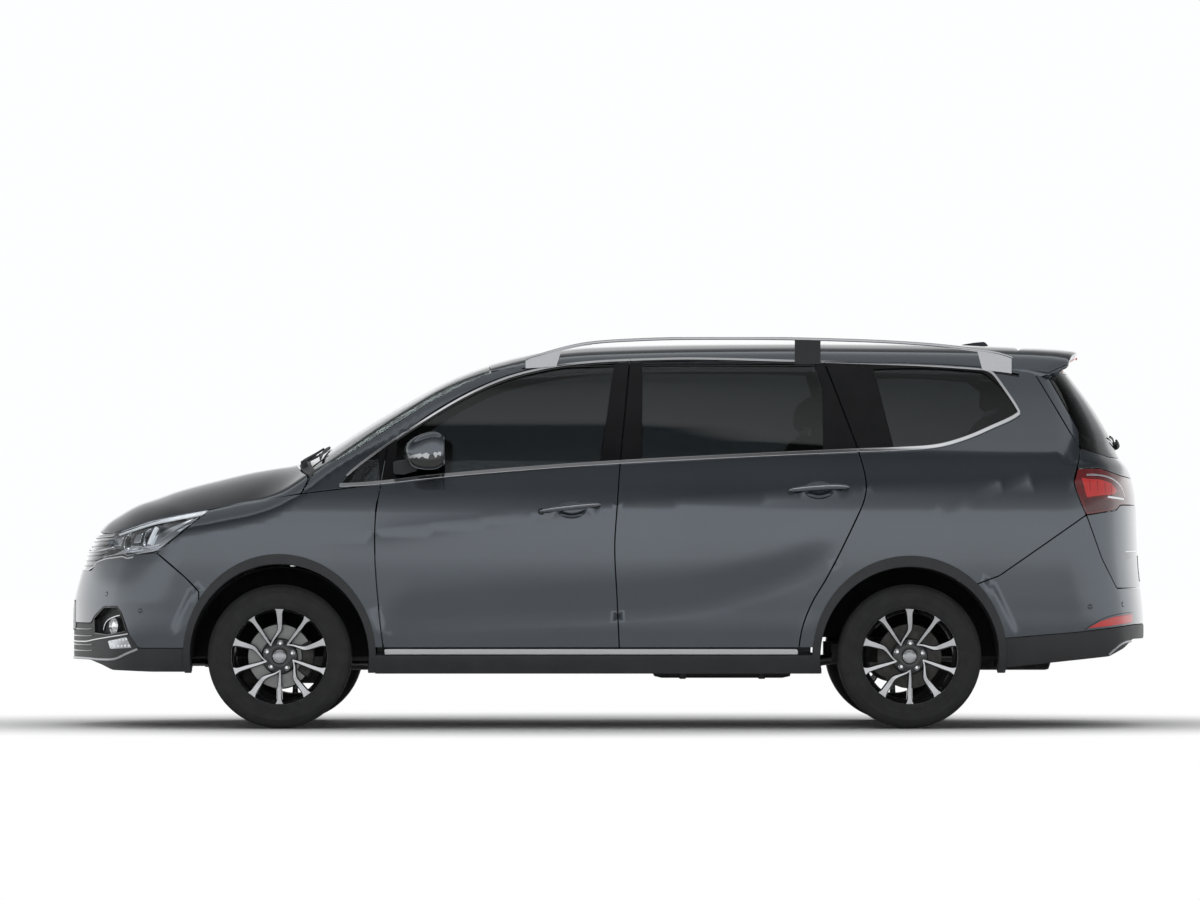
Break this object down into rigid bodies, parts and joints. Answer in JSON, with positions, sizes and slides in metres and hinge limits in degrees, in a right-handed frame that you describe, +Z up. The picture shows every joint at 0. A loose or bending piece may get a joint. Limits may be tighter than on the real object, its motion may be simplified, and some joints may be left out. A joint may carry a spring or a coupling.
{
  "type": "seven-seat minivan",
  "caption": "Family minivan with hinged side doors, lifting tailgate and hood, steered front wheels and a seven-seat cabin.",
  "frame": {"origin": "on the ground, under the middle of the body", "axes": "+X towards the tail, so the nose points to -X; +Y to the car's right side; +Z up"},
  "size_m": [4.782, 2.1278, 1.7166],
  "materials": {
    "paint": "dark blue-grey metallic",
    "glass": "tinted",
    "tyre": "black rubber",
    "rim": "machined faces, black pockets",
    "black_plastic": "grained",
    "gloss_black": "piano black",
    "chrome": "polished",
    "lamp_clear": "clear lens over bright reflectors",
    "lamp_red": "red lens",
    "fabric": "dark seat cloth",
    "interior": "soft touch",
    "iron": "dark",
    "steel": "dull"
  },
  "bodies": {
    "body": {"body_shell": "paint", "dashboard": "interior", "engine": "iron", "exhaust": "steel", "fixed_side_glass": "glass", "floor_pan": "paint", "front_bumper": "paint", "front_fenders": "paint", "front_seats": "fabric", "front_subframe": "iron", "fuel_tank": "black_plastic", "grille": "gloss_black", "headlamps": "lamp_clear", "middle_seats": "fabric", "rear_axle": "iron", "rear_bumper": "paint", "rear_seats": "fabric", "roof_rails": "chrome", "sill_cladding": "black_plastic", "steering_wheel": "interior", "wheel_liners": "black_plastic", "windscreen": "glass"},
    "front_door_left": {"front_door_left": "paint", "front_glass_left": "glass", "mirror_left": "paint"},
    "rear_door_left": {"rear_door_left": "paint", "rear_glass_left": "glass"},
    "knuckle_left": {"knuckle_left": "iron"},
    "front_wheel_left": {"front_tyre_left": "tyre", "front_rim_left": "rim"},
    "rear_wheel_left": {"rear_tyre_left": "tyre", "rear_rim_left": "rim"},
    "front_door_right": {"front_door_right": "paint", "front_glass_right": "glass", "mirror_right": "paint"},
    "rear_door_right": {"rear_door_right": "paint", "rear_glass_right": "glass"},
    "knuckle_right": {"knuckle_right": "iron"},
    "front_wheel_right": {"front_tyre_right": "tyre", "front_rim_right": "rim"},
    "rear_wheel_right": {"rear_tyre_right": "tyre", "rear_rim_right": "rim"},
    "hood": {"hood": "paint"},
    "tailgate": {"tailgate": "paint", "tailgate_glass": "glass", "tail_lamps": "lamp_red"}
  },
  "joints": [
    {"name": "front_door_left_open", "type": "hinge", "parent": "body", "child": "front_door_left", "pos_m": [-1.006, -0.8775, 0.75], "axis": [0, 0, -1], "range_deg": [0, 68]},
    {"name": "rear_door_left_open", "type": "hinge", "parent": "body", "child": "rear_door_left", "pos_m": [0.04, -0.8775, 0.75], "axis": [0, 0, -1], "range_deg": [0, 70]},
    {"name": "front_door_right_open", "type": "hinge", "parent": "body", "child": "front_door_right", "pos_m": [-1.006, 0.8775, 0.75], "axis": [0, 0, 1], "range_deg": [0, 68]},
    {"name": "rear_door_right_open", "type": "hinge", "parent": "body", "child": "rear_door_right", "pos_m": [0.04, 0.8775, 0.75], "axis": [0, 0, 1], "range_deg": [0, 70]},
    {"name": "hood_open", "type": "hinge", "parent": "body", "child": "hood", "pos_m": [-1.265, 0, 1.175], "axis": [0, 1, 0], "range_deg": [0, 50]},
    {"name": "tailgate_open", "type": "hinge", "parent": "body", "child": "tailgate", "pos_m": [1.825, 0, 1.688], "axis": [0, -1, 0], "range_deg": [0, 80]},
    {"name": "steer_left", "type": "hinge", "parent": "body", "child": "knuckle_left", "pos_m": [-1.435, -0.705, 0.315], "axis": [0, 0, 1], "range_deg": [-35, 35]},
    {"name": "front_wheel_left_spin", "type": "hinge", "parent": "knuckle_left", "child": "front_wheel_left", "pos_m": [-1.435, -0.765, 0.315], "axis": [0, 1, 0], "continuous": true},
    {"name": "rear_wheel_left_spin", "type": "hinge", "parent": "body", "child": "rear_wheel_left", "pos_m": [1.315, -0.765, 0.315], "axis": [0, 1, 0], "continuous": true},
    {"name": "steer_right", "type": "hinge", "parent": "body", "child": "knuckle_right", "pos_m": [-1.435, 0.705, 0.315], "axis": [0, 0, 1], "range_deg": [-35, 35]},
    {"name": "front_wheel_right_spin", "type": "hinge", "parent": "knuckle_right", "child": "front_wheel_right", "pos_m": [-1.435, 0.765, 0.315], "axis": [0, 1, 0], "continuous": true},
    {"name": "rear_wheel_right_spin", "type": "hinge", "parent": "body", "child": "rear_wheel_right", "pos_m": [1.315, 0.765, 0.315], "axis": [0, 1, 0], "continuous": true}
  ],
  "couplings": [
    {"joint": "steer_right", "follows": "steer_left", "ratio": 1}
  ]
}
